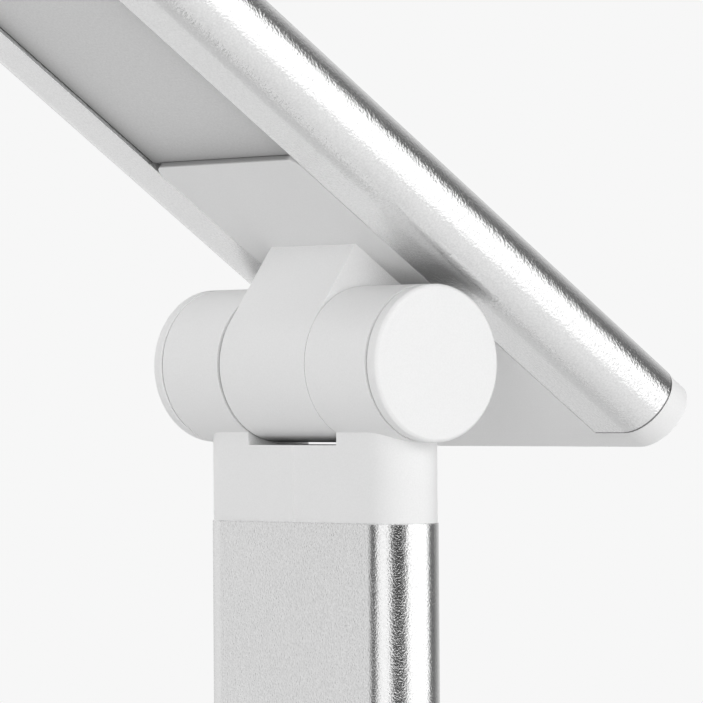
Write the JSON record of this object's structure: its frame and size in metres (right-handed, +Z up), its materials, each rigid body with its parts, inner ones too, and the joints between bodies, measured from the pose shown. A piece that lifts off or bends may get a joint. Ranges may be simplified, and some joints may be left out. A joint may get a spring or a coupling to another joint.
{
  "type": "folding LED desk lamp",
  "caption": "Folding LED desk lamp: weighted base, flat extruded arm and flat extruded light head, joined by two friction hinges.",
  "frame": {"origin": "centre of the base's underside, on the surface the lamp stands on", "axes": "+Z up, the light head's tip towards -Y, hinge axes along X"},
  "size_m": [0.14, 0.2686, 0.5261],
  "materials": {
    "white_plastic": "fine spark-eroded satin ABS moulding",
    "anodised_aluminium": "bead-blasted, natural satin anodised",
    "frosted_diffuser": "frosted polycarbonate sheet, unlit",
    "grey_plastic": "moulded ABS, hidden under the pad",
    "pad_rubber": "soft matt silicone",
    "ballast_steel": "sheared plate, zinc plated",
    "screw_steel": "zinc-plated steel",
    "shaft_steel": "turned steel",
    "bush_bronze": "sintered bronze",
    "washer_nylon": "nylon",
    "panel_plastic": "smoked acrylic, polished",
    "clear_plastic": "clear acrylic",
    "board_green": "glass-fibre circuit board with solder mask",
    "board_white": "aluminium-core circuit board with white solder mask",
    "component_black": "moulded component bodies",
    "led_phosphor": "phosphor-filled silicone in white packages",
    "reflector_white": "white moulded reflector",
    "inlet_metal": "plated steel shell",
    "lead_grey": "PVC-insulated flexible lead"
  },
  "bodies": {
    "base": {"anti_slip_pad": "pad_rubber", "base_cover": "grey_plastic", "base_cover_screws": "screw_steel", "ballast_plate": "ballast_steel", "ballast_screws": "screw_steel", "base_housing": "white_plastic", "base_hinge_bushes": "bush_bronze", "touch_panel": "panel_plastic", "status_light_pipe": "clear_plastic", "control_board": "board_green", "control_board_parts": "component_black", "control_board_screws": "screw_steel", "power_board": "board_green", "power_board_parts": "component_black", "power_board_screws": "screw_steel", "usb_c_inlet": "inlet_metal", "base_leads": "lead_grey"},
    "arm": {"arm_extrusion": "anodised_aluminium", "arm_lower_clevis": "white_plastic", "arm_lower_screws": "screw_steel", "arm_upper_clevis": "white_plastic", "arm_upper_screws": "screw_steel", "arm_lead": "lead_grey", "base_hinge_shaft": "shaft_steel", "base_hinge_friction_washers": "washer_nylon", "base_hinge_spring_washers": "shaft_steel", "base_hinge_flat_washer": "shaft_steel", "base_hinge_nut": "shaft_steel", "base_hinge_end_caps": "white_plastic", "head_hinge_shaft": "shaft_steel", "head_hinge_friction_washers": "washer_nylon", "head_hinge_spring_washers": "shaft_steel", "head_hinge_flat_washer": "shaft_steel", "head_hinge_nut": "shaft_steel", "head_hinge_end_caps": "white_plastic"},
    "head": {"head_extrusion": "anodised_aluminium", "head_rear_housing": "white_plastic", "head_rear_screws": "screw_steel", "head_hinge_bushes": "bush_bronze", "head_front_cap": "white_plastic", "head_front_screws": "screw_steel", "diffuser": "frosted_diffuser", "reflector_frame": "reflector_white", "led_board": "board_white", "led_chips": "led_phosphor", "driver_board": "board_green", "driver_board_parts": "component_black", "driver_board_screws": "screw_steel", "head_leads": "lead_grey"}
  },
  "joints": [
    {"name": "arm_fold", "type": "hinge", "parent": "base", "child": "arm", "pos_m": [0, 0.066, 0.0455], "axis": [1, 0, 0], "range_deg": [-30, 90]},
    {"name": "head_tilt", "type": "hinge", "parent": "arm", "child": "head", "pos_m": [0, 0.066, 0.3455], "axis": [-1, 0, 0], "range_deg": [-125, 55]}
  ]
}
